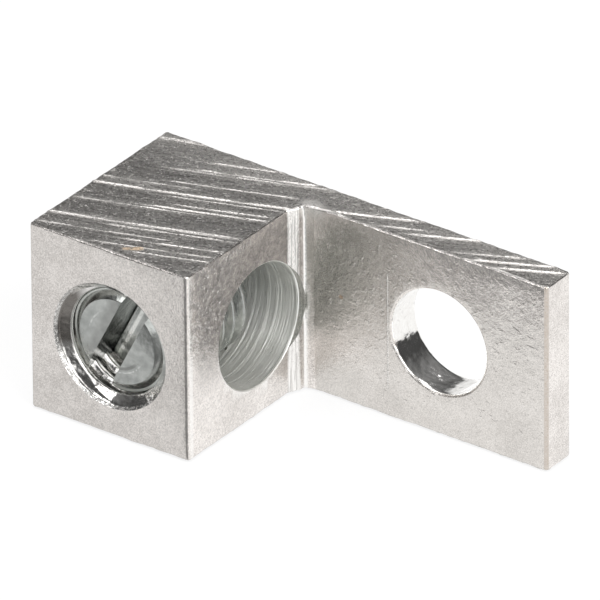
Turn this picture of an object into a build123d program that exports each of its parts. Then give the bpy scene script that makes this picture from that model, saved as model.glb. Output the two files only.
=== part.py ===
from build123d import *
import os

# A one-hole mechanical lug: a sawn aluminium body with a slotted set screw. Lengths are in millimetres.
# The origin is the centre of the stud hole on the mounting face. +X runs along the tongue to its free
# end, +Y points out of the mounting face, and +Z is across the sawn width. The lug stands on a sawn side.

# Body, cut to width from an extruded L section
body_width = 12.7
body_length = 29.7
block_length = 11.65
block_height = 13.8
tongue_thickness = 2.45
inner_fillet = 1.1
section_corner_radius = 0.25
sawn_edge_radius = 0.12

# Plain hole for the stud, for a quarter-inch stud
stud_hole_diameter = 6.9
stud_hole_to_end = 7.9

# Wire bore along the tongue, drilled right through the block just above the tongue's face
wire_bore_diameter = 8.1
wire_floor_step = 0.15
drilled_hole_offset = -0.3

# Set screw, 5/16-24, and the tapped hole that it runs in
thread_diameter = 7.94
thread_clearance = 0.05
screw_hole_to_far_face = 5.87
screw_hole_depth = 9.1
screw_hole_countersink = 0.14
countersink_angle = 90
screw_length = 8.55
screw_recess = 0.75
screw_face_radius = 2.8
screw_tip_chamfer = 0.7
slot_width = 1.9
slot_depth = 2.9
slot_angle = 63

# Places worked out from the sizes above
tongue_end_x = stud_hole_to_end
far_x = tongue_end_x - body_length
block_inner_x = far_x + block_length
wire_bore_y = -(tongue_thickness + wire_floor_step + wire_bore_diameter / 2)
screw_x = far_x + screw_hole_to_far_face
thread_radius = thread_diameter / 2
screw_hole_radius = thread_radius + thread_clearance

mounting_face = Plane(origin=(0, 0, 0), x_dir=(1, 0, 0), z_dir=(0, 1, 0))
far_face = Plane(origin=(far_x, wire_bore_y, drilled_hole_offset), z_dir=(-1, 0, 0))
screw_mouth = Plane(origin=(screw_x, -block_height, drilled_hole_offset), x_dir=(1, 0, 0), z_dir=(0, -1, 0))
screw_face = screw_mouth.offset(-screw_recess)

# Lug body: the L section is extruded, sawn edges are broken, and the three holes are drilled
with BuildPart() as lug_body:
    with BuildSketch(Plane.XY.offset(-body_width / 2)) as section:
        with BuildLine():
            Polyline(
                (far_x, 0),
                (tongue_end_x, 0),
                (tongue_end_x, -tongue_thickness),
                (block_inner_x, -tongue_thickness),
                (block_inner_x, -block_height),
                (far_x, -block_height),
                close=True,
            )
        make_face()
        inner_corner = section.vertices().sort_by_distance((block_inner_x, -tongue_thickness, 0))[0]
        outer_corners = section.vertices().filter_by(lambda corner: corner != inner_corner)
        fillet(outer_corners, section_corner_radius)
        inner_corner = section.vertices().sort_by_distance((block_inner_x, -tongue_thickness, 0))[0]
        fillet(inner_corner, inner_fillet)
    extrude(amount=body_width)
    sawn_faces = lug_body.faces().filter_by(Axis.Z)
    fillet(sawn_faces.edges(), sawn_edge_radius)

    with Locations(mounting_face):
        Hole(stud_hole_diameter / 2)
    with Locations(far_face):
        Hole(wire_bore_diameter / 2)
    with Locations(screw_mouth):
        CounterSinkHole(
            screw_hole_radius,
            screw_hole_radius + screw_hole_countersink,
            depth=screw_hole_depth,
            counter_sink_angle=countersink_angle,
        )
lug_body.part.label = "lug_body"

# Set screw: a headless cylinder over its thread's crests, chamfered at both ends, with an open slot
with BuildPart() as set_screw:
    with BuildSketch(screw_face):
        Circle(thread_radius)
    extrude(amount=-screw_length)
    end_edges = set_screw.edges().filter_by(GeomType.CIRCLE).sort_by(Axis.Y)
    chamfer(end_edges[0], thread_radius - screw_face_radius)
    chamfer(end_edges[-1], screw_tip_chamfer)
    with BuildSketch(screw_face):
        Rectangle(thread_diameter + 2 * thread_clearance, slot_width, rotation=slot_angle)
    extrude(amount=-slot_depth, mode=Mode.SUBTRACT)
set_screw.part.label = "set_screw"

os.makedirs("parts", exist_ok=True)
export_step(lug_body.part, "parts/lug_body.step")
export_step(set_screw.part, "parts/set_screw.step")
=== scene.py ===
# Looks for the mechanical lug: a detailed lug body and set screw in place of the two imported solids.
# Lengths are in millimetres until a mesh is made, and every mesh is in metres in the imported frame.
import math
import random

import bmesh
import bpy
import numpy as np
from mathutils import Matrix, Vector, noise
from mathutils.geometry import delaunay_2d_cdt


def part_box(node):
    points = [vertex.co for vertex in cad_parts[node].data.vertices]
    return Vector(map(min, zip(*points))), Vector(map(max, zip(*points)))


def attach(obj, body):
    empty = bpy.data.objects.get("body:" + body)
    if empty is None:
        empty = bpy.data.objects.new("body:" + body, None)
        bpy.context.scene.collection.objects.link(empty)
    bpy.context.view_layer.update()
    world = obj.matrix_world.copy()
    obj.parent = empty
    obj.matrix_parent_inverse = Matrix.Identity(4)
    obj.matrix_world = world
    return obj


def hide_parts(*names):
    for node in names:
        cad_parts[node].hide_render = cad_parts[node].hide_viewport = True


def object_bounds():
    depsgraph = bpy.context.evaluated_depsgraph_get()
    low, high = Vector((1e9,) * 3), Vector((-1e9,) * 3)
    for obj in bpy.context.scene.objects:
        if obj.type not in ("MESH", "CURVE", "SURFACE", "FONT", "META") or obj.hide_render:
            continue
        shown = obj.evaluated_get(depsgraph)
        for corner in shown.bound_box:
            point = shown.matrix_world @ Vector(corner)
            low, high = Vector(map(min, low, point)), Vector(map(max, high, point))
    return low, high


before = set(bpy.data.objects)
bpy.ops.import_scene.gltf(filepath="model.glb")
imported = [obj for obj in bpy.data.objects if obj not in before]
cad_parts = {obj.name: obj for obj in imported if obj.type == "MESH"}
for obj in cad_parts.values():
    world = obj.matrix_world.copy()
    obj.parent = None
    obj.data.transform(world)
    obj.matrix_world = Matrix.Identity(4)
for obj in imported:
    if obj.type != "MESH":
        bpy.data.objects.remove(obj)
cad_low, cad_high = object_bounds()
MM = 0.001

# Sizes of the lug body
body_low, body_high = (np.array(corner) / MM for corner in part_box("lug_body"))
far_x, tongue_end_x = body_low[0], body_high[0]
block_height = -body_low[1]
half_width = body_high[2]
block_inner_x = far_x + 11.65
tongue_thickness = 2.45
corner_radius = 0.25
stud_radius = 3.45
bore_radius = 4.05
bore_y = -6.65
hole_z = -0.3

# Sizes of the set screw and of the tapped hole
screw_low, screw_high = (np.array(corner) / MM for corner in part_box("set_screw"))
screw_x = (screw_low[0] + screw_high[0]) / 2
screw_face_y, screw_tip_y = screw_low[1], screw_high[1]
pitch = 25.4 / 24
pitch_radius = 3.626
screw_crest, screw_root = 3.94, 3.34
hole_root, hole_crest = 4.02, 3.43
hole_rim = hole_root + 0.14
flank_room = 0.03
tapped_end_y = -4.7
thread_start_y = -block_height - 0.4
thread_columns = 96
rows_per_turn = 36
slot_angle = math.radians(63)
slot_width = 1.9
slot_depth = 2.9

# The saw blade's path over the sawn faces: its centre and radius in the plan
saw_x, saw_y = -76.5, 172.7
saw_radius = 190.8

# The sawn faces: the level that they are cut down from, their mean depth under it, and the highest level
face_level = half_width - 0.06
face_depth = 0.035
top_level = half_width - 0.001

# Spacing of points round the section, and of rows and of points along a row on the sawn faces
ring_step = 0.16
row_step, point_step = 0.036, 0.36

# The stage: the room's brightness low down and overhead, and the floor's own grey, its brightness to the
# camera, and its brightness in the metal at the left, at the right, behind and behind at the left
room_low, room_high = 0.08, 0.35
floor_grey, floor_shown = 0.18, 0.82
floor_left, floor_right, floor_back, floor_back_left = 0.565, 0.84, 0.84, 0.98
# Pale cards round the studio: direction, cosines at which a card fades in and is full, brightness
cards = (
    ((-0.72, 0.68, 0.0), 0.89, 0.96, 1.05),
    ((0.85, -0.1, 0.5), 0.85, 0.92, 1.6),
    ((0.5, -0.7, 0.5), 0.86, 0.92, 1.6),
)


# Camera of the photograph

def add_camera():
    azimuth, elevation, roll = (math.radians(a) for a in (36.141, 29.476, -0.390))
    distance = 1200.0
    focal_pixels, picture_pixels = 20186.0, 600.0
    shift_right, shift_up = 0.009, 2.315
    aim = Vector(((far_x + tongue_end_x) / 2, -block_height / 2, 0))
    back = Vector((math.sin(azimuth), -math.cos(azimuth), 0)) * math.cos(elevation)
    back.z = math.sin(elevation)
    level = Vector((math.cos(azimuth), math.sin(azimuth), 0))
    upright = back.cross(level)
    right = level * math.cos(roll) + upright * math.sin(roll)
    up = upright * math.cos(roll) - level * math.sin(roll)
    data = bpy.data.cameras.new("camera")
    data.sensor_width = 36.0
    data.lens = data.sensor_width * focal_pixels / picture_pixels
    data.clip_start, data.clip_end = 0.01, 50
    camera = bpy.data.objects.new("camera", data)
    matrix = Matrix((right, up, back)).transposed().to_4x4()
    matrix.translation = (aim + back * distance + right * shift_right + up * shift_up) * MM
    camera.matrix_world = matrix
    bpy.context.scene.collection.objects.link(camera)
    bpy.context.scene.camera = camera


# Small helpers for meshes

def new_object(name, mesh):
    obj = bpy.data.objects.new(name, mesh)
    bpy.context.scene.collection.objects.link(obj)
    return obj


def mesh_from(name, points, faces):
    mesh = bpy.data.meshes.new(name)
    mesh.from_pydata([tuple(p) for p in np.asarray(points, float) * MM], [], faces)
    mesh.validate()
    mesh.update()
    return mesh


def rework(mesh, *steps):
    """Runs each step on the mesh in its editable form"""
    bm = bmesh.new()
    bm.from_mesh(mesh)
    for step in steps:
        step(bm)
    bm.to_mesh(mesh)
    bm.free()


def close_ends(bm):
    """Merges collapsed rows and caps the open ends"""
    bmesh.ops.remove_doubles(bm, verts=bm.verts, dist=1e-7)
    bmesh.ops.dissolve_degenerate(bm, edges=bm.edges, dist=1e-8)
    rims = [e for e in bm.edges if e.is_boundary]
    bmesh.ops.holes_fill(bm, edges=rims, sides=0)
    face_outward(bm)


def face_outward(bm):
    bmesh.ops.recalc_face_normals(bm, faces=bm.faces)


def remove_loose(bm):
    loose = [v for v in bm.verts if not v.link_faces]
    bmesh.ops.delete(bm, geom=loose, context="VERTS")


def cut(obj, cutters, operation="DIFFERENCE"):
    """Takes the closed cutters out of obj's mesh, or keeps what is inside them, and removes them"""
    for cutter in cutters:
        step = obj.modifiers.new("cut", "BOOLEAN")
        step.operation = operation
        step.solver = "MANIFOLD"
        step.object = cutter
    bpy.context.view_layer.update()
    graph = bpy.context.evaluated_depsgraph_get()
    mesh = bpy.data.meshes.new_from_object(obj.evaluated_get(graph))
    obj.modifiers.clear()
    obj.data = mesh
    for cutter in cutters:
        bpy.data.objects.remove(cutter)


def wave(value, seed, scale):
    """Smooth noise from -1 to 1 along one coordinate"""
    return noise.noise(Vector((value * scale, seed * 7.31, seed * 3.17)))


def fade(value, start, width):
    """0 up to the start, and 1 from the width past it"""
    return np.clip((value - start) / width, 0, 1)


# Round shapes along the X or Y axis

def turned(name, stations, columns, place, radius_at):
    """Closed body of revolution: stations along the axis, place(axial, radius, angle) gives the point"""
    points, faces = [], []
    for axial in stations:
        for column in range(columns):
            angle = 2 * math.pi * column / columns
            points.append(place(axial, radius_at(axial, angle), angle))
    for row in range(len(stations) - 1):
        for column in range(columns):
            beside = (column + 1) % columns
            faces.append((row * columns + column, row * columns + beside,
                          (row + 1) * columns + beside, (row + 1) * columns + column))
    mesh = mesh_from(name, points, faces)
    rework(mesh, close_ends)
    return new_object(name, mesh)


def round_bore(axial, radius, angle):
    return (axial, bore_y + radius * math.cos(angle), hole_z + radius * math.sin(angle))


def round_stud(axial, radius, angle):
    return (radius * math.cos(angle), axial, radius * math.sin(angle))


def round_screw(axial, radius, angle):
    return (screw_x + radius * math.cos(angle), axial, hole_z + radius * math.sin(angle))


def threaded(name, start, end, radius_at):
    """Closed right-hand thread about the screw's axis, with rows that follow the helix.
    radius_at(phase, y) takes the phase in turns and the place along the axis"""
    points, faces = [], []
    rows = int(math.ceil(rows_per_turn * ((end - start) / pitch + 2)))
    stride = rows + rows_per_turn + 1
    for column in range(thread_columns):
        share = column / thread_columns
        angle = 2 * math.pi * share
        for row in range(stride):
            y = start - pitch + pitch * (row / rows_per_turn + share)
            y = min(max(y, start), end)
            radius = radius_at((y - start) / pitch - share, y)
            points.append((screw_x + radius * math.sin(angle), y, hole_z + radius * math.cos(angle)))
    for column in range(thread_columns):
        last = column == thread_columns - 1
        here = column * stride
        there = rows_per_turn if last else here + stride
        for row in range(rows):
            faces.append((here + row, here + row + 1, there + row + 1, there + row))
    mesh = mesh_from(name, points, [])

    def add_faces(bm):
        bm.verts.ensure_lookup_table()
        for face in faces:
            bm.faces.new([bm.verts[i] for i in face])
    rework(mesh, add_faces, close_ends, remove_loose)
    return new_object(name, mesh)


def flank(phase):
    """Height of a sharp 60 degree thread over the pitch radius"""
    off = abs((phase + 0.5) % 1.0 - 0.5) * pitch
    return (pitch / 4 - off) * math.sqrt(3)


def soft_max(first, second, width):
    """The larger value, with the crossing rounded over about the width"""
    return width * math.log(math.exp(first / width) + math.exp(second / width))


def soft_min(first, second, width):
    return -soft_max(-first, -second, width)


# Section of the lug body

# The inner corner from the block to the tongue, measured from the far face and the mounting face:
# a hollow facet, a short wall, a bright narrow bevel and a nearly flat run on to the tongue
inner_corner = (
    (11.65, -3.80), (11.68, -3.72), (11.76, -3.56), (11.86, -3.37), (11.96, -3.18), (12.03, -3.04),
    (12.045, -2.98), (12.05, -2.90), (12.045, -2.82), (12.04, -2.75), (12.045, -2.70), (12.075, -2.645),
    (12.115, -2.60), (12.18, -2.575), (12.32, -2.54), (12.50, -2.505), (12.70, -2.475), (12.88, -2.457),
    (13.00, -2.45),
)


def unit_rows(vectors):
    return vectors / np.linalg.norm(vectors, axis=1)[:, None]


def corner_runs():
    """The section's corners in turn, each a run of points: outer ones are arcs, the inner one is as given"""
    corners = [np.array(corner) for corner in (
        (tongue_end_x, 0.0),
        (far_x, 0.0),
        (far_x, -block_height),
        (block_inner_x, -block_height),
        (block_inner_x, -tongue_thickness),
        (tongue_end_x, -tongue_thickness),
    )]
    hollow, arc_steps = 4, 8
    runs = []
    for i, corner in enumerate(corners):
        if i == hollow:
            runs.append([np.array((far_x + x, y)) for x, y in inner_corner])
            continue
        way_in = (corner - corners[i - 1]) / np.linalg.norm(corner - corners[i - 1])
        outward = np.array((way_in[1], -way_in[0]))
        centre = corner - (way_in + outward) * corner_radius
        turns = [math.pi / 2 * k / arc_steps for k in range(arc_steps + 1)]
        runs.append([centre + (outward * math.cos(t) + way_in * math.sin(t)) * corner_radius for t in turns])
    return runs


def outline():
    """Points and outward normals round the L section, anticlockwise seen from +Z"""
    runs = corner_runs()
    points = []
    for i, run in enumerate(runs):
        points.extend(run)
        start, end = run[-1], runs[(i + 1) % len(runs)][0]
        pieces = int(round(np.linalg.norm(end - start) / ring_step))
        points.extend(start + (end - start) * k / pieces for k in range(1, pieces))
    points = np.array(points)
    before = unit_rows(points - np.roll(points, 1, axis=0))
    after = unit_rows(np.roll(points, -1, axis=0) - points)
    along = unit_rows(before + after)
    return points, np.column_stack([along[:, 1], -along[:, 0]])


# Saw marks and burrs

# Saw marks that stand out on the upper sawn face: place across, start and end along, width, height
bright_marks = (
    (-8.80, 56, 62.5, 0.26, 0.06), (-6.70, 62.5, 70.0, 0.12, 0.05), (-5.68, 62.0, 71.0, 0.17, 0.065),
    (-5.40, 60.0, 71.5, 0.12, 0.05), (-3.90, 60.8, 69.2, 0.10, 0.045), (-3.35, 55.5, 62.5, 0.12, 0.055),
    (-2.52, 55.5, 69.2, 0.18, 0.075), (-2.88, 69.6, 76.5, 0.17, 0.07), (-2.10, 61.0, 69.0, 0.10, 0.045),
    (-1.84, 73.0, 77.5, 0.12, 0.05), (-1.25, 76.5, 81.5, 0.18, 0.07), (-1.20, 62.0, 68.0, 0.12, 0.055),
    (-0.42, 55.5, 64.0, 0.12, 0.055), (-0.72, 60.5, 68.5, 0.14, 0.06), (0.30, 79.6, 84.0, 0.14, 0.06),
    (1.05, 79.5, 86.0, 0.17, 0.07), (1.73, 81.5, 87.5, 0.17, 0.07), (1.75, 54.5, 67.0, 0.18, 0.075),
    (2.20, 58.3, 67.0, 0.11, 0.055), (3.05, 54.0, 63.0, 0.11, 0.045), (3.58, 60.0, 67.5, 0.12, 0.055),
    (4.35, 58.0, 68.0, 0.11, 0.045), (4.95, 61.0, 68.0, 0.12, 0.05), (6.20, 65.0, 69.0, 0.12, 0.05),
)


def saw_place(x, y):
    """Across the saw's path, rising towards the screw's side, and along it"""
    dx, dy = x - saw_x, saw_y - y
    return np.hypot(dx, dy) - saw_radius, np.arctan2(dx, dy) * saw_radius


def saw_marks(side, loop):
    """The marks on one sawn face. The lower face isn't seen in the photograph and has its own"""
    draw = random.Random(17 + side)
    across, along = saw_place(loop[:, 0], loop[:, 1])
    marks = list(bright_marks) if side > 0 else []
    fine_marks = 75
    highest = 0.022 if side > 0 else 0.05
    for _ in range(fine_marks):
        start = draw.uniform(along.min() - 3, along.max())
        end = start + draw.uniform(4, 15)
        marks.append((draw.uniform(across.min(), across.max()), start, end, draw.uniform(0.07, 0.12),
                      draw.uniform(0.006, highest)))
    return marks


def ridge(across, along, at, start, end, width, height):
    """A saw mark: a slope that faces the screw's side and a steep step behind it, with ends that run out"""
    crest, foot, step = -0.25, 0.75, 0.35
    off = (across - at) / width
    rise = np.where(off > crest, foot - off, 1 + (off - crest) / step)
    ends = fade(along, start - 1.4, 2.0) * fade(-along, -end - 1.4, 2.0)
    return height * np.clip(rise, 0, 1) * ends


def streak_strength(along, seed):
    """A mark's strength along its length, weaker in places"""
    weakest = 0.6
    stations = np.arange(50, 92, 0.25)
    levels = np.array([1.0 + 0.6 * wave(place, seed, 0.9) for place in stations])
    return np.interp(along, stations, np.clip(levels, weakest, 1.0))


def saw_height(x, y, marks):
    """Height of the marks over the sawn face, and each place's painted highlight, partly burnish"""
    full_shine = 0.06
    across, along = saw_place(x, y)
    total = np.zeros_like(across)
    shine = np.zeros_like(across)
    for mark in marks:
        height = mark[-1]
        bump = ridge(across, along, *mark) * streak_strength(along, mark[0])
        total = np.maximum(total, bump)
        shine = np.maximum(shine, bump / height * min(height / full_shine, 1.0))
    return total, shine


def mark_halo(x, y, marks):
    """How much painted sheen the metal gets beside the strong marks"""
    least_height, full_height, reach = 0.036, 0.07, 0.36
    across, along = saw_place(x, y)
    halo = np.zeros_like(across)
    for at, start, end, _, height in marks:
        if height < least_height:
            continue
        ends = fade(along, start - 1, 2) * fade(-along, -end - 1, 2)
        halo = np.maximum(halo, height / full_height * np.exp(-((across - at) / reach) ** 2) * ends)
    return halo


def edge_burr(x, y, side):
    """Metal that the saw pushed up: a lump over the inner corner and lips along the tongue's front edge"""
    if side < 0:
        return np.zeros_like(x)
    lump = 0.12 * np.exp(-(((x + 9.30) / 0.62) ** 2 + ((y + 2.25) / 0.45) ** 2))
    near_edge = np.clip(1 - np.abs(y + tongue_thickness - 0.10) / 0.16, 0, 1)
    left_lip = 0.07 * fade(x, -9.3, 0.5) * fade(-x, 6.3, 1.2)
    right_lip = 0.06 * fade(x, 3.0, 1.0) * fade(-x, -6.8, 1.0)
    return np.maximum(lump, near_edge * (left_lip + right_lip))


def corner_lump(plan):
    """How far the metal over the inner corner is pushed out sideways"""
    way_out = np.array((0.35, -0.94))
    push = 0.2 * np.exp(-((plan[:, 0] + 9.35) / 0.7) ** 2 - ((plan[:, 1] + 2.5) / 0.45) ** 2)
    return push[:, None] * way_out


def saw_level(x, y, marks, side):
    """Height of the sawn face over the middle plane, before its limit"""
    waves = np.array([wave(w, 3, 0.9) for w in saw_place(x, y)[0]])
    raised = np.maximum(saw_height(x, y, marks)[0], edge_burr(x, y, side))
    return face_level - (face_depth + 0.012 * waves - raised)


def saw_grid(loop, margin):
    """Points in rows along the saw's path, inside the loop by the margin"""
    across, along = saw_place(loop[:, 0], loop[:, 1])
    steps = np.arange(along.min(), along.max(), point_step)
    grid = []
    for k, row in enumerate(np.arange(across.min(), across.max(), row_step)):
        turn = (steps + point_step / 2 * (k % 2)) / saw_radius
        reach = saw_radius + row
        grid.append(np.stack([saw_x + reach * np.sin(turn), saw_y - reach * np.cos(turn)], 1))
    grid = np.concatenate(grid)
    inside = np.zeros(len(grid), bool)
    for p, q in zip(loop, np.roll(loop, -1, axis=0)):
        crosses = (p[1] > grid[:, 1]) != (q[1] > grid[:, 1])
        if not crosses.any():
            continue
        at = p[0] + (grid[:, 1] - p[1]) * (q[0] - p[0]) / (q[1] - p[1])
        inside ^= crosses & (grid[:, 0] < at)
    grid = grid[inside]
    nearest = np.full(len(grid), np.inf)
    for p in loop:
        nearest = np.minimum(nearest, np.hypot(grid[:, 0] - p[0], grid[:, 1] - p[1]))
    return grid[nearest > margin]


# Mesh of the lug body

def sawn_rim(ring, normals, side, marks):
    """Rows of points from the section's edge over an uneven rounding on to the sawn face"""
    steps = 5
    places = np.arange(len(ring)) * ring_step
    radius = np.array([0.13 + 0.07 * wave(p, 2 + side, 0.7) + 0.05 * wave(p, 9 + side, 2.6) for p in places])
    lip = np.array([max(0.0, 0.012 + 0.05 * wave(p, 5 + side, 1.1)) for p in places])
    rows = []
    for k in range(steps + 1):
        turn = math.pi / 2 * k / steps
        place = ring - normals * (radius * (1 - math.cos(turn)))[:, None]
        level = saw_level(place[:, 0], place[:, 1], marks, side)
        level = level + lip * (k / steps) ** 2 - radius * (1 - math.sin(turn))
        if side > 0:
            place = place + corner_lump(place)
        rows.append(np.column_stack([place, side * np.minimum(level, top_level)]))
    return rows


def strips(starts, count, flipped=False):
    """Faces between rows of points that each go round the body"""
    faces = []
    for low, high in zip(starts, starts[1:]):
        for i in range(count):
            j = (i + 1) % count
            face = [low + i, low + j, high + j, high + i]
            faces.append(face[::-1] if flipped else face)
    return faces


def add_sawn_face(points, faces, ring, normals, side):
    """Adds one sawn face with its rim, and returns where the rim's first row starts"""
    count = len(ring)
    marks = saw_marks(side, ring)
    starts = []
    for row in sawn_rim(ring, normals, side, marks):
        starts.append(len(points))
        points.extend(row)
    inner = np.array(points[starts[-1]:])[:, :2]
    grid = saw_grid(inner, margin=0.11)
    flat = [Vector(p) for p in np.concatenate([inner, grid])]
    _, _, triangles, origins, _, _ = delaunay_2d_cdt(flat, [], [list(range(count))], 1, 1e-6)
    z = side * np.minimum(saw_level(grid[:, 0], grid[:, 1], marks, side), top_level)
    grid_start = len(points)
    points.extend(np.column_stack([grid, z]))
    index = [starts[-1] + o[0] if o[0] < count else grid_start + o[0] - count for o in origins]
    for triangle in triangles:
        face = [index[i] for i in triangle]
        faces.append(face if side > 0 else face[::-1])
    faces.extend(strips(starts, count, flipped=side < 0))
    return starts[0]


def build_lug_body():
    ring, normals = outline()
    count, wall_rows = len(ring), 14
    points, faces = [], []
    upper, lower = (add_sawn_face(points, faces, ring, normals, side) for side in (1, -1))
    bottom = np.array(points[lower:lower + count])
    top = np.array(points[upper:upper + count])
    top[:, :2] = ring
    walls = [lower]
    for k in range(1, wall_rows):
        walls.append(len(points))
        points.extend(bottom + (top - bottom) * k / wall_rows)
    walls.append(upper)
    faces.extend(strips(walls, count))
    body = new_object("lug_body_plated", mesh_from("lug_body_plated", points, faces))
    cut(body, [wire_bore_cutter(), tapped_hole_cutter(), stud_hole_cutter()])
    return body


def wire_bore_cutter():
    """The drilled bore, with the drill's feed rings, and both mouths broken"""
    far_break, near_break = 0.12, 0.05

    def radius_at(axial, angle):
        ring = 0.060 * abs(wave(axial, 4, 3.2)) + 0.015 * abs(wave(axial, 8, 7.0))
        far_mouth = max(0.0, far_break - (axial - far_x))
        near_mouth = min(max(0.0, axial - block_inner_x + near_break), near_break)
        return bore_radius - ring + (far_mouth + near_mouth)
    stations = [far_x - 0.3, far_x - 0.05]
    stations += list(np.arange(far_x, block_inner_x + 1.4, 0.05))
    stations += [tongue_end_x + 1]
    return turned("wire_bore", stations, 128, round_bore, radius_at)


def tapped_hole_cutter():
    """The tapped hole, with a small countersink"""
    countersink_slope = 1.1

    def radius_at(phase, y):
        turn = soft_max(pitch_radius + flank_room + flank(phase), hole_crest, 0.05)
        turn = soft_min(turn, hole_root, 0.03)
        rim = hole_rim - countersink_slope * (y + block_height)
        return max(turn, min(rim, hole_rim))
    return threaded("tapped_hole", thread_start_y, tapped_end_y, radius_at)


def stud_hole_cutter():
    """The punched hole: its rim is rolled over on the tongue's face, with a nick at the left"""
    rollover = 0.16
    nick_angle, nick_depth, nick_width, nick_length = math.radians(200.4), 0.08, 0.3, 0.5
    back_break, back_most = 0.06, 0.09

    def radius_at(axial, angle):
        front = max(axial + tongue_thickness, 0.0)
        short = max(rollover - front, 0.0)
        rolled = rollover - math.sqrt(rollover ** 2 - short ** 2)
        off = (angle - nick_angle) * stud_radius
        nick = nick_depth * math.exp(-(off / nick_width) ** 2 - (front / nick_length) ** 2)
        return stud_radius + rolled + nick + min(max(back_break + axial, 0.0), back_most)
    inside = [-tongue_thickness + rollover * step for step in (0, 0.08, 0.2, 0.4, 0.65, 1.0)]
    inside += list(np.linspace(-tongue_thickness + 0.3, 0, 20))
    stations = [-tongue_thickness - 1] + inside + [1]
    return turned("stud_hole", stations, 180, round_stud, radius_at)


# Mesh of the set screw

# Radius of the screw's front end: a face, a bevel, a narrow flat step and the run-out to the crests,
# and of its tip, each by the distance from that end
face_profile = ((0.0, 2.76), (0.012, 2.79), (0.035, 2.82), (0.35, 3.235), (0.375, 3.255), (0.39, 3.41),
                (0.41, 3.435), (0.46, 3.46), (0.95, 3.94), (1.00, 4.00))
tip_profile = ((0.74, 4.00), (0.0, 3.26))


def slot_cutter():
    """The sawn slot, with rounded corners along its floor"""
    half, length = slot_width / 2, 5.0
    right_side = ((half, -1.0), (half, slot_depth - 0.12), (half - 0.04, slot_depth - 0.035),
                  (half - 0.12, slot_depth))
    left_side = tuple((-across, depth) for across, depth in reversed(right_side))
    section = left_side[-1:] + right_side + left_side[:-1]
    cos, sin = math.cos(slot_angle), math.sin(slot_angle)
    points = []
    for along in (-length, length):
        for across, depth in section:
            points.append((screw_x + along * cos - across * sin, screw_face_y + depth,
                           hole_z + along * sin + across * cos))
    count = len(section)
    faces = [tuple(range(count)), tuple(reversed(range(count, 2 * count)))]
    faces += [(i, i + count, (i + 1) % count + count, (i + 1) % count) for i in range(count)]
    mesh = mesh_from("slot", points, faces)
    rework(mesh, face_outward)
    return new_object("slot", mesh)


def build_set_screw():
    start, end = screw_face_y - 0.2, screw_tip_y + 0.2

    def radius_at(phase, y):
        in_step = phase + (start - thread_start_y) / pitch
        return soft_min(soft_max(pitch_radius + flank(in_step), screw_root, 0.03), screw_crest, 0.03)
    screw = threaded("set_screw_plated", start, end, radius_at)
    radii = {screw_face_y + depth: radius for depth, radius in face_profile}
    radii.update({screw_tip_y - depth: radius for depth, radius in tip_profile})
    envelope = turned("screw_ends", list(radii), 144, round_screw, lambda axial, angle: radii[axial])
    cut(screw, [envelope], "INTERSECT")
    cut(screw, [slot_cutter()])
    return screw


# Nodes of the materials

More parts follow.
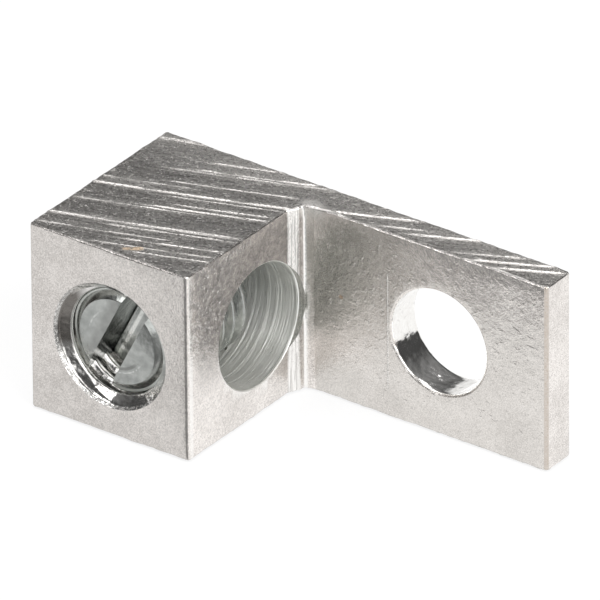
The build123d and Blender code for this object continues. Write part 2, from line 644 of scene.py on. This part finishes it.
class Shader:
    """Nodes of a material or of the world, added step by step"""

    def __init__(self, owner):
        self.owner = owner
        owner.use_nodes = True
        self.tree = owner.node_tree
        self.tree.nodes.clear()

    def connect(self, socket, value):
        if isinstance(value, bpy.types.NodeSocket):
            self.tree.links.new(value, socket)
        elif hasattr(value, "__len__") and len(value) == 3 and socket.type == "RGBA":
            socket.default_value = (*value, 1.0)
        else:
            socket.default_value = value

    def add(self, kind, settings=None, **inputs):
        node = self.tree.nodes.new(kind)
        for key, value in (settings or {}).items():
            setattr(node, key, value)
        for key, value in inputs.items():
            self.connect(node.inputs[key.replace("_", " ")], value)
        return node

    def math(self, operation, first, second=0.0, clamp=False):
        node = self.add("ShaderNodeMath", {"operation": operation, "use_clamp": clamp})
        self.connect(node.inputs[0], first)
        self.connect(node.inputs[1], second)
        return node.outputs[0]

    def chain(self, operation, values):
        result = values[0]
        for value in values[1:]:
            result = self.math(operation, result, value)
        return result

    def product(self, *values):
        return self.chain("MULTIPLY", values)

    def total(self, *values):
        return self.chain("ADD", values)

    def most(self, *values):
        return self.chain("MAXIMUM", values)

    def minus(self, first, second):
        return self.math("SUBTRACT", first, second)

    def length(self, first, second):
        """Length of the line with these two parts"""
        return self.math("SQRT", self.total(self.product(first, first), self.product(second, second)))

    def ramp(self, value, low, high, to_low=0.0, to_high=1.0):
        node = self.add("ShaderNodeMapRange", Value=value, From_Min=low, From_Max=high,
                        To_Min=to_low, To_Max=to_high)
        return node.outputs["Result"]

    def within(self, value, low, high, soft):
        """1 between the two values, fading to 0 outside them"""
        return self.product(self.ramp(value, low - soft, low), self.ramp(value, high, high + soft, 1.0, 0.0))

    def millimetres(self):
        place = self.add("ShaderNodeTexCoord").outputs["Object"]
        node = self.add("ShaderNodeVectorMath", {"operation": "SCALE"}, Scale=1 / MM)
        self.connect(node.inputs[0], place)
        return node.outputs[0]

    def axes(self, place):
        return tuple(self.add("ShaderNodeSeparateXYZ", Vector=place).outputs)

    def attribute(self, name):
        return self.add("ShaderNodeAttribute", {"attribute_name": name}).outputs["Fac"]

    def noise(self, place, scale, detail=2.0, roughness=0.5):
        node = self.add("ShaderNodeTexNoise", Vector=place, Scale=scale, Detail=detail, Roughness=roughness)
        return node.outputs["Fac"]

    def drawn_out(self, parts, scales):
        """Place for a noise that is drawn out, from the place's parts and a scale for each"""
        scaled = [self.product(part, scale) for part, scale in zip(parts, scales)]
        return self.add("ShaderNodeCombineXYZ", **dict(zip("XYZ", scaled))).outputs[0]

    def scratches(self, place, scale, seed_shift):
        """Thin curved scratches in patches"""
        node = self.add("ShaderNodeVectorMath", {"operation": "ADD"})
        self.connect(node.inputs[0], place)
        node.inputs[1].default_value = (seed_shift, 0, 0)
        moved = node.outputs[0]
        off = self.math("ABSOLUTE", self.minus(self.noise(moved, scale), 0.5))
        patch = self.ramp(self.noise(moved, scale * 1.7), 0.50, 0.56)
        return self.product(self.ramp(off, 0.005, 0.013, 1.0, 0.0), patch)

    def blend(self, factor, first, second):
        node = self.add("ShaderNodeMix", {"data_type": "RGBA"})
        for socket, value in ((0, factor), (6, first), (7, second)):
            self.connect(node.inputs[socket], value)
        return node.outputs[2]

    def tint(self, colour, mask, strength, other):
        """The colour, with another laid over it by the mask"""
        return self.blend(self.product(mask, strength), colour, other)

    def relief(self, *layers):
        """Normal after one bump on another, each a height, its distance and its strength"""
        normal = None
        for height, distance, strength in layers:
            node = self.add("ShaderNodeBump", Height=height, Distance=distance * MM, Strength=strength)
            if normal is not None:
                self.connect(node.inputs["Normal"], normal)
            normal = node.outputs["Normal"]
        return normal

    def metal(self, colour, roughness, normal, metallic=1.0):
        node = self.add("ShaderNodeBsdfPrincipled", Base_Color=colour, Roughness=roughness, Normal=normal,
                        Metallic=metallic)
        self.add("ShaderNodeOutputMaterial", Surface=node.outputs[0])
        return node


def new_material(name):
    return Shader(bpy.data.materials.new(name))


# Materials of the lug body. Places are in millimetres, and masks run from 0 to 1

def clean_plating(s, place, mottle, grain):
    """Colour of the plating before wear, with small darker dots"""
    cloud = s.noise(place, 0.35, 3.0)
    dots = s.ramp(s.noise(place, 5.0), 0.62, 0.72)
    shade = s.total(s.ramp(mottle, 0.3, 0.7, -0.05, 0.4), s.ramp(cloud, 0.35, 0.65, 0.0, 0.35))
    shade = s.math("ADD", shade, s.ramp(grain, 0.32, 0.68, -0.35, 0.7), clamp=True)
    colour = s.blend(shade, (0.62, 0.587, 0.558), (0.94, 0.90, 0.865))
    return s.tint(colour, dots, 0.32, (0.40, 0.38, 0.36))


def tongue_painted_shade(s, x, z, struck):
    """Painted shade on the tongue's face: darker low at the left, and at the right except near its top"""
    low_left = s.product(s.ramp(z, -2.2, -4.4, 0.0, 0.4), s.ramp(x, -3.5, -6.0))
    right = s.product(s.ramp(x, -9.0, -3.5, 0.0, 0.32), s.ramp(z, 2.0, 4.5, 1.0, 0.2))
    return s.product(struck, s.most(low_left, right))


def edge_ticks(s, y, z, mottle, on_side):
    """Short bright ticks along the top of the block's inner side"""
    spacing = 0.34
    ticks = s.ramp(s.math("SINE", s.product(y, 2 * math.pi / spacing)), 0.1, 0.6)
    stretch = s.product(s.within(y, -9.9, -7.3, 0.3), s.within(z, 5.6, 5.95, 0.12))
    return s.product(ticks, stretch, s.ramp(mottle, 0.4, 0.5), on_side)


def tongue_line(s, x, z, grain, struck):
    """A thin straight scratch across the tongue's face"""
    line_x, line_half = -3.73, 0.03
    across = s.within(x, line_x - line_half, line_x + line_half, 0.03)
    return s.product(across, s.within(z, -3.95, 3.2, 0.5), struck, s.ramp(grain, 0.38, 0.55))


def side_painted_shade_and_specks(s, colour, place, mottle, on_side):
    """Painted shade that darkens the upper part of the block's inner side, with dark patches and bright
    specks towards the screw's side. Gives the colour, and the height of the specks over the patches"""
    _, y, z = s.axes(place)
    rubbed = s.product(on_side, s.within(y, -12.9, -10.4, 1.0), s.within(z, 1.9, 6.2, 1.4))
    patches = s.product(s.ramp(s.noise(place, 1.9, 4.0, 0.6), 0.42, 0.62), rubbed)
    specks = s.product(s.ramp(s.noise(place, 4.5, 2.0, 0.6), 0.64, 0.68), rubbed)
    # Painted shade: the upper part of the inner side is darkened
    upper = s.product(on_side, s.ramp(z, -2.8, 0.4), s.ramp(y, -13.2, -12.4))
    colour = s.tint(colour, upper, s.ramp(mottle, 0.42, 0.58, 0.35, 0.95), (0.42, 0.405, 0.39))
    colour = s.tint(colour, patches, 0.6, (0.27, 0.26, 0.25))
    colour = s.tint(colour, specks, 0.8, (0.98, 0.97, 0.95))
    return colour, s.minus(specks, patches)


def stains_and_edge_shade(s, colour, place, grain, struck):
    """Drawn streaks in the inner corner, painted shade in a brownish tone along the tongue's end edge,
    and one brown spot
    """
    spot_x, spot_z = -7.14, 0.75
    edge_x, edge_y = tongue_end_x - 0.24, 0.17 - tongue_thickness
    x, y, z = s.axes(place)
    facet = s.product(s.within(x, block_inner_x + 0.01, block_inner_x + 0.40, 0.02),
                      s.within(y, -3.74, -3.06, 0.06))
    streaks = s.noise(s.drawn_out((x, y, z), (9.0, 9.0, 0.35)), 1.0, 3.0, 0.6)
    streaks = s.product(s.ramp(streaks, 0.50, 0.62), facet)
    colour = s.tint(colour, streaks, 0.6, (0.36, 0.345, 0.33))
    # Painted shade in a brownish tone along the rounded edge at the tongue's end
    painted_shade_end_edge = s.product(s.ramp(x, edge_x, edge_x + 0.06), s.ramp(y, edge_y, edge_y + 0.06, 1.0, 0.0),
                         s.ramp(grain, 0.35, 0.6, 0.3, 1.0))
    colour = s.tint(colour, painted_shade_end_edge, 0.9, (0.52, 0.45, 0.385))
    off_spot = s.length(s.minus(x, spot_x), s.minus(z, spot_z))
    spot = s.product(s.ramp(off_spot, 0.10, 0.20, 1.0, 0.0), struck, s.ramp(grain, 0.4, 0.55, 0.4, 1.0))
    return s.blend(spot, colour, (0.60, 0.45, 0.33))


def plated_face():
    """Tin-plated extruded faces: smooth metal with a fine tumbled grain, wear partly painted as highlight,
    painted shade on the tongue and the block's inner side, and a few small marks
    """
    s = new_material("plated_face")
    place = s.millimetres()
    x, y, z = s.axes(place)
    mottle = s.noise(place, 3.0, 4.0, 0.6)
    grain = s.noise(place, 11.0, 3.0, 0.6)
    struck = s.attribute("struck")
    on_side = s.within(x, block_inner_x - 0.02, block_inner_x + 0.02, 0.02)
    ticks = edge_ticks(s, y, z, mottle, on_side)
    line = tongue_line(s, x, z, grain, struck)
    scratches = s.product(s.scratches(place, 0.9, 3.0), 0.12)
    colour = clean_plating(s, place, mottle, grain)
    # Painted shade on the tongue's face
    colour = s.blend(tongue_painted_shade(s, x, z, struck), colour, (0.45, 0.44, 0.41))
    # Pale colour where the faces are rubbed bright, partly wear and partly painted highlight, and on the
    # small marks
    bright = s.most(s.attribute("wear_and_highlight"), ticks, s.product(line, 0.8), scratches)
    colour = s.blend(bright, colour, (0.97, 0.955, 0.93))
    colour, specks = side_painted_shade_and_specks(s, colour, place, mottle, on_side)
    colour = stains_and_edge_shade(s, colour, place, grain, struck)
    dents = s.product(s.noise(place, 1.4, 3.0, 0.55), struck)
    pits = s.product(s.ramp(s.noise(place, 2.6), 0.60, 0.68), struck)
    normal = s.relief((grain, 0.014, 1.0), (mottle, 0.03, 0.8), (dents, 0.045, 0.8), (pits, 0.015, 0.8),
                      (specks, 0.03, 0.8), (s.total(ticks, line, scratches), 0.03, 0.8))
    s.metal(colour, s.ramp(mottle, 0.3, 0.7, 0.19, 0.27), normal)
    return s.owner


def brown_stain(s, x, y, z, mottle):
    """The small brown stain on the upper sawn face, a slanting oblong"""
    stain_x, stain_y = -14.9, -12.76
    cos, sin = 0.81, 0.59
    off_x, off_y = s.minus(x, stain_x), s.minus(y, stain_y)
    along = s.total(s.product(off_x, cos), s.product(off_y, sin))
    across = s.minus(s.product(off_y, cos), s.product(off_x, sin))
    return s.product(s.within(along, -0.5, 0.5, 0.2), s.within(across, -0.12, 0.12, 0.1),
                     s.ramp(z, 6.0, 6.1), s.ramp(mottle, 0.35, 0.55, 0.2, 1.0))


def sawn_face():
    """Sawn faces: fine lines along the saw's path, a coarse mottle, curved scratches and marks with painted
    highlight, partly burnish, with painted sheen beside them and painted light towards the back
    """
    s = new_material("sawn_face")
    place = s.millimetres()
    x, y, z = s.axes(place)
    dx, dy = s.minus(x, saw_x), s.minus(saw_y, y)
    path = (s.length(dx, dy), s.product(s.math("ARCTAN2", dx, dy), saw_radius))
    lines = s.noise(s.drawn_out(path, (6.0, 0.5)), 1.0, 3.0, 0.6)
    mottle = s.noise(place, 4.5, 5.0, 0.75)
    specks = s.ramp(s.noise(place, 6.5, 2.0, 0.6), 0.63, 0.68)
    scratches = s.scratches(place, 1.2, 0.0)
    # Painted sheen beside the strong saw marks
    halo = s.ramp(s.attribute("halo"), 0.0, 0.9, 0.0, 0.26)
    # Painted light: the sawn face is paler towards the back
    painted_light_back = s.ramp(y, -4.0, -0.3, -0.03, 0.22)
    light = s.total(s.ramp(mottle, 0.34, 0.66, 0.0, 0.30), halo, painted_light_back)
    light = s.math("ADD", light, s.ramp(lines, 0.35, 0.65, -0.12, 0.10), clamp=True)
    colour = s.blend(light, (0.15, 0.142, 0.134), (0.86, 0.825, 0.79))
    # Painted highlight, partly burnish, on the saw marks, the rims and the burrs
    bright = s.most(s.product(s.attribute("shine"), 0.85), s.product(specks, 0.8), s.product(scratches, 0.7))
    colour = s.blend(bright, colour, (0.84, 0.81, 0.78))
    stain = brown_stain(s, x, y, z, mottle)
    colour = s.tint(colour, stain, 0.9, (0.90, 0.70, 0.50))
    roughness = s.total(s.ramp(mottle, 0.3, 0.7, 0.24, 0.34), s.product(stain, 0.2))
    raised = s.most(s.product(stain, mottle), specks, scratches)
    s.metal(colour, roughness, s.relief((lines, 0.03, 0.8), (mottle, 0.05, 0.8), (raised, 0.04, 0.8)))
    return s.owner


def bore_wall():
    """The drilled wire bore: satin, with a fine grain round it, smudged above,
    and with painted shade at the bottom
    """
    s = new_material("bore_wall")
    place = s.millimetres()
    x, y, z = s.axes(place)
    lines = s.noise(s.drawn_out((x, y, z), (7.0, 0.35, 0.35)), 1.0, 3.0, 0.6)
    clouds = s.noise(place, 0.5)
    smudges = s.ramp(s.noise(place, 0.9, 4.0, 0.6), 0.42, 0.62)
    colour = s.blend(s.ramp(clouds, 0.35, 0.65), (0.89, 0.90, 0.86), (0.97, 0.975, 0.94))
    colour = s.tint(colour, smudges, s.ramp(z, -1.2, 0.6, 0.0, 0.3), (0.62, 0.64, 0.60))
    # Painted shade: the bore is darker at the bottom
    colour = s.blend(s.ramp(z, -2.8, -3.6, 0.0, 0.5), colour, (0.50, 0.49, 0.46))
    roughness = s.ramp(lines, 0.3, 0.7, 0.26, 0.38)
    node = s.metal(colour, roughness, s.relief((lines, 0.06, 1.0)), metallic=0.6)
    grain = s.add("ShaderNodeTangent", {"direction_type": "RADIAL", "axis": "X"})
    s.connect(node.inputs["Tangent"], grain.outputs[0])
    node.inputs["Anisotropic"].default_value = 0.6
    node.inputs["Anisotropic Rotation"].default_value = 0.25
    return s.owner


def off_screw_axis(s, x, z):
    """How far a place is off the screw's axis along X, along Z and in all"""
    off_x, off_z = s.minus(x, screw_x), s.minus(z, hole_z)
    return off_x, off_z, s.length(off_x, off_z)


def small_hole_wall():
    """Stud hole and tapped hole: smooth sheared and threaded walls with a few small tears. The tapped
    hole's rim is flecked, and its first groove has painted shade at the left"""
    s = new_material("small_hole_wall")
    place = s.millimetres()
    x, y, z = s.axes(place)
    rim_y = 0.12 - block_height
    off_x, off_z, radius = off_screw_axis(s, x, z)
    wide = s.noise(place, 0.9)
    mottle = s.noise(place, 3.0, 3.0, 0.6)
    tears = s.ramp(s.noise(place, 2.2, 3.0, 0.7), 0.58, 0.66)
    # Painted shade in the tapped hole's first groove at the left
    painted_shade_groove = s.product(s.within(radius, 3.5, 4.3, 0.08), s.ramp(y, rim_y, rim_y + 0.08),
                       s.ramp(off_x, -2.2, -3.0), s.ramp(off_z, -1.6, -0.9))
    rim = s.product(s.ramp(y, rim_y, rim_y + 0.06, 1.0, 0.0), s.ramp(radius, 4.4, 4.3))
    flecks = s.product(s.ramp(s.noise(place, 5.5, 3.0, 0.7), 0.50, 0.60), rim)
    colour = s.blend(s.ramp(mottle, 0.3, 0.7), (0.84, 0.825, 0.80), (0.94, 0.93, 0.91))
    colour = s.tint(colour, tears, 0.3, (0.50, 0.48, 0.46))
    colour = s.tint(colour, flecks, 0.65, (0.36, 0.345, 0.33))
    colour = s.blend(painted_shade_groove, colour, (0.24, 0.225, 0.21))
    roughness = s.total(s.ramp(mottle, 0.3, 0.7, 0.10, 0.17), s.product(painted_shade_groove, 0.15))
    s.metal(colour, roughness, s.relief((wide, 0.12, 0.8), (mottle, 0.012, 0.8), (flecks, 0.02, 0.8)))
    return s.owner


# Material of the set screw

def turned_arcs(s, colour, off_x, off_z, radius, grain, on_face):
    """A dark and a bright arc that the tool left on the screw's face"""
    left = s.product(s.ramp(off_x, -1.2, -1.5), s.ramp(off_z, 0.3, 0.7))
    low = s.ramp(off_z, -0.9, -1.3)
    bright = s.product(s.within(radius, 2.02, 2.07, 0.04), s.most(left, low), on_face,
                       s.ramp(grain, 0.42, 0.56))
    dark = s.product(s.within(radius, 1.70, 1.84, 0.06), low, on_face)
    colour = s.tint(colour, dark, 0.6, (0.20, 0.20, 0.19))
    return s.tint(colour, bright, 0.5, (0.93, 0.94, 0.92))


def slot_floor(s, colour, across, depth, grain):
    """The slot's floor, with a painted highlight stripe along it and painted shade beside that"""
    on_floor = s.ramp(depth, slot_depth - 0.25, slot_depth - 0.1)
    # Painted highlight along the slot's floor, and painted shade beside it
    painted_highlight_stripe = s.product(s.within(across, 0.42, 0.58, 0.10), on_floor, s.ramp(grain, 0.3, 0.5, 0.5, 1.0))
    darker = s.product(s.ramp(across, 0.30, 0.20), on_floor)
    colour = s.tint(colour, darker, 0.3, (0.22, 0.225, 0.215))
    return s.blend(painted_highlight_stripe, colour, (0.88, 0.89, 0.86))


def screw_plate():
    """Plated set screw: smooth, slightly greenish grey, with painted shade beside the slot and a pale satin
    ring round its chamfer whose colour is partly painted highlight
    """
    s = new_material("screw_plate")
    place = s.millimetres()
    x, y, z = s.axes(place)
    off_x, off_z, radius = off_screw_axis(s, x, z)
    depth = s.minus(y, screw_face_y)
    across = s.minus(s.product(off_z, math.cos(slot_angle)), s.product(off_x, math.sin(slot_angle)))
    mottle = s.noise(place, 1.3, 4.0, 0.55)
    grain = s.noise(place, 7.0, 3.0)
    on_face = s.ramp(depth, 0.015, 0.03, 1.0, 0.0)
    # Painted shade on the screw's face beside the slot
    painted_shade_by_slot = s.product(s.within(across, slot_width / 2, 1.35, 0.5), on_face)
    # A rougher pale ring on the narrow step: its colour is partly painted highlight
    ring = s.product(s.ramp(radius, 3.25, 3.27), s.ramp(depth, 0.42, 0.46, 1.0, 0.0))
    colour = s.blend(s.ramp(mottle, 0.3, 0.7), (0.36, 0.375, 0.362), (0.58, 0.595, 0.575))
    colour = s.tint(colour, painted_shade_by_slot, 0.45, (0.22, 0.22, 0.21))
    colour = turned_arcs(s, colour, off_x, off_z, radius, grain, on_face)
    colour = slot_floor(s, colour, across, depth, grain)
    colour = s.blend(ring, colour, (0.85, 0.87, 0.84))
    roughness = s.total(s.ramp(grain, 0.3, 0.7, 0.18, 0.26), s.product(ring, 0.3))
    s.metal(colour, roughness, s.relief((grain, 0.008, 0.6), (mottle, 0.05, 0.7)))
    return s.owner


# Finish of the meshes

def shade(obj):
    """Smooth shading, with edges over 32 degrees left sharp"""
    mesh = obj.data
    mesh.polygons.foreach_set("use_smooth", [True] * len(mesh.polygons))
    mesh.set_sharp_from_angle(angle=math.radians(32))
    mesh.update()


def choose_materials(mesh):
    """Gives each face its material by where it lies"""
    mesh.materials.clear()
    for material in (plated_face(), sawn_face(), bore_wall(), small_hole_wall()):
        mesh.materials.append(material)
    plated, sawn, bore, small_hole = range(4)
    for polygon in mesh.polygons:
        x, y, z = (c / MM for c in polygon.center)
        from_bore = math.hypot(y - bore_y, z - hole_z)
        from_screw = math.hypot(x - screw_x, z - hole_z)
        in_bore = from_bore < bore_radius + 0.02 and far_x + 0.01 < x < block_inner_x + 1.2
        in_screw_hole = from_screw < hole_rim - 0.01 and -block_height + 0.005 < y < tapped_end_y + 0.01
        in_stud = math.hypot(x, z) < stud_radius + 0.04
        on_plain_face = abs(polygon.normal.y) > 0.97
        if abs(z) > half_width - 0.12:
            polygon.material_index = sawn
        elif (in_screw_hole or in_stud) and not on_plain_face:
            polygon.material_index = small_hole
        elif in_bore:
            polygon.material_index = bore
        else:
            polygon.material_index = plated


def face_wear_and_highlight(co):
    """Where the plated faces are rubbed bright, partly wear and partly painted highlight, and where the
    tongue was struck flat
    """
    x, y, z = co.T
    # Painted highlight on the hollow facet and its bevel; the bore's mouth, the front edge and the lump are
    # partly wear and partly painted highlight
    facet = (x > block_inner_x + 0.005) * (x < block_inner_x + 0.45)
    bevel = (np.abs(y + 2.61) < 0.05) * (x > block_inner_x + 0.40) * (x < block_inner_x + 0.55)
    wear_and_highlight = np.maximum(np.interp(y, (-3.80, -3.72, -3.06, -3.0), (0, 1, 1, 0)) * facet, bevel)
    patchy = np.clip([0.65 + 0.7 * wave(a + 1.3 * b, 11, 1.1) for a, b in zip(y, z)], 0, 1)
    mouth = np.abs(np.hypot(y - bore_y, z - hole_z) - bore_radius - 0.03) < 0.07
    wear_and_highlight = np.maximum(wear_and_highlight, mouth * (x > block_inner_x - 0.1) * patchy)
    edge = (np.abs(x - block_inner_x) < 0.01) * (y > -block_height + 0.2) * (y < -block_height + 0.42)
    wear_and_highlight = np.maximum(wear_and_highlight, edge * patchy)
    lump = np.hypot(*corner_lump(co[:, :2]).T)
    wear_and_highlight = np.maximum(wear_and_highlight, np.clip(lump / 0.08, 0, 1) * (z > half_width - 0.95))
    struck = (np.abs(y + tongue_thickness) < 0.01) * (x < tongue_end_x - 0.2)
    return wear_and_highlight, struck.astype(float)


def saw_shine(co):
    """Painted highlight, partly burnish, on the sawn faces, and painted sheen beside the strong marks"""
    x, y, z = co.T
    upper = z > half_width - 0.3
    ring = outline()[0]
    marks = {side: saw_marks(side, ring) for side in (1, -1)}
    shine = np.where(upper, saw_height(x, y, marks[1])[1], saw_height(x, y, marks[-1])[1])
    halo = np.where(upper, mark_halo(x, y, marks[1]), mark_halo(x, y, marks[-1]))
    rim = np.clip((face_level - face_depth - np.abs(z)) / 0.03, 0, 1) * (np.abs(z) > half_width - 0.3)
    uneven = [0.25 + 0.7 * wave(a + 1.7 * b, 6, 0.8) + 0.5 * wave(a - b, 13, 4.0) for a, b in zip(x, y)]
    burr = fade(edge_burr(x, y, 1), 0, 0.05) * upper
    return np.maximum(shine, np.maximum(rim * np.clip(uneven, 0, 0.8), burr)), halo


def dress_body(body):
    mesh = body.data
    choose_materials(mesh)
    shade(body)
    co = np.empty(len(mesh.vertices) * 3)
    mesh.vertices.foreach_get("co", co)
    co = co.reshape(-1, 3) / MM
    shine, halo = saw_shine(co)
    wear_and_highlight, struck = face_wear_and_highlight(co)
    for name, values in (("shine", shine), ("halo", halo), ("wear_and_highlight", wear_and_highlight), ("struck", struck)):
        attribute = mesh.attributes.new(name, "FLOAT", "POINT")
        attribute.data.foreach_set("value", values.astype(np.float32))


# Floor, lights and world

def floor_brightness(s, x, y, outer_turn):
    """The floor's brightness in the metal, where it stands for the studio: dim at the left, pale elsewhere"""
    level = s.ramp(outer_turn, -0.55, -0.35, floor_left, floor_right)
    level = s.total(level, s.ramp(y, -34.0, -20.0, 0.08, 0.0))
    back_left = s.product(s.ramp(y, 3.0, 7.0), s.ramp(x, -8.0, -3.0, 1.0, 0.0), floor_back_left)
    return s.most(level, s.ramp(y, 0.0, 4.0, 0.0, floor_back), back_left)


def floor_shade(s, ray_depth, past_block, outer_turn, in_front):
    """How much darker the floor is in the metal by place: in front of the block's outer edge for a ray that
    has bounced once, and in front of its inner side for one that has bounced twice"""
    after_one = s.product(s.ramp(outer_turn, -0.60, -0.49), s.ramp(outer_turn, 0.65, 0.95, 1.0, 0.0))
    by_side, by_tongue = s.ramp(past_block, 4.0, 9.0, 0.45, 0.85), 0.05
    off_side = s.ramp(s.math("ARCTAN2", past_block, in_front), 0.66, 0.74)
    darkness = s.total(s.product(off_side, s.minus(by_side, by_tongue)), by_tongue)
    after_two = s.product(s.ramp(in_front, 0.3, 1.5), s.ramp(past_block, 18.0, 26.0, 1.0, 0.0), darkness)
    first = s.math("LESS_THAN", ray_depth, 1.5)
    second = s.minus(s.math("LESS_THAN", ray_depth, 2.5), first)
    return s.total(s.product(after_one, first), s.product(after_two, second))


def add_floor():
    size = 2.5
    z = cad_low.z
    mesh = bpy.data.meshes.new("floor")
    corners = [(-size, -size, z), (size, -size, z), (size, size, z), (-size, size, z)]
    mesh.from_pydata(corners, [], [(0, 1, 2, 3)])
    floor = new_object("floor", mesh)
    s = new_material("floor")
    paths = s.add("ShaderNodeLightPath").outputs
    x, y, _ = s.axes(s.millimetres())
    past_block = s.minus(x, block_inner_x)
    outer_turn = s.math("ARCTAN2", past_block, s.minus(-block_height, y))
    dark = floor_shade(s, paths["Ray Depth"], past_block, outer_turn, s.minus(-tongue_thickness, y))
    level = s.product(floor_brightness(s, x, y, outer_turn), s.minus(1.0, dark))
    in_metal = s.math("ADD", paths["Is Glossy Ray"], paths["Is Transmission Ray"], clamp=True)
    level = s.most(s.product(level, in_metal), s.product(paths["Is Camera Ray"], floor_shown))
    diffuse = s.add("ShaderNodeBsdfDiffuse", Color=(floor_grey, floor_grey, floor_grey))
    glow = s.add("ShaderNodeEmission", Strength=level)
    both = s.add("ShaderNodeAddShader")
    s.connect(both.inputs[0], diffuse.outputs[0])
    s.connect(both.inputs[1], glow.outputs[0])
    s.add("ShaderNodeOutputMaterial", Surface=both.outputs[0])
    mesh.materials.append(s.owner)


def add_softbox(name, place, size, power):
    """A soft rectangular lamp that faces the origin"""
    data = bpy.data.lights.new(name, "AREA")
    data.shape = "RECTANGLE"
    data.size, data.size_y = size
    data.energy = power
    light = bpy.data.objects.new(name, data)
    light.location = place
    light.rotation_mode = "QUATERNION"
    light.rotation_quaternion = (-Vector(place)).to_track_quat("-Z", "Y")
    bpy.context.scene.collection.objects.link(light)


def add_world():
    """A dim studio: dark round the horizon, lighter overhead, with three pale cards"""
    world = bpy.data.worlds.new("studio")
    s = Shader(world)
    direction = s.add("ShaderNodeTexCoord").outputs["Generated"]
    height = s.axes(direction)[2]
    level = s.ramp(height, 0.40, 0.85, room_low, room_high)
    for towards, start, full, strength in cards:
        card = s.add("ShaderNodeVectorMath", {"operation": "DOT_PRODUCT"})
        s.connect(card.inputs[0], direction)
        card.inputs[1].default_value = Vector(towards).normalized()
        level = s.total(level, s.ramp(card.outputs["Value"], start, full, 0.0, strength))
    paths = s.add("ShaderNodeLightPath").outputs
    glow = s.add("ShaderNodeBackground", Strength=s.most(level, paths["Is Camera Ray"]))
    s.add("ShaderNodeOutputWorld", Surface=glow.outputs[0])
    bpy.context.scene.world = world


# The scene

bpy.context.scene.view_settings.view_transform = "Standard"
add_camera()
add_floor()
add_world()
add_softbox("overhead", (-0.12, 0.05, 0.75), size=(0.9, 0.5), power=4.2)
add_softbox("front_left", (-0.30, -0.66, 0.54), size=(0.3, 0.3), power=0.8)
add_softbox("key", (0.62, -0.10, 0.58), size=(0.45, 0.45), power=2.4)

lug_body = build_lug_body()
dress_body(lug_body)
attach(lug_body, "lug")
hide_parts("lug_body")

set_screw = build_set_screw()
set_screw.data.materials.clear()
set_screw.data.materials.append(screw_plate())
shade(set_screw)
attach(set_screw, "screw")
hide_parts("set_screw")
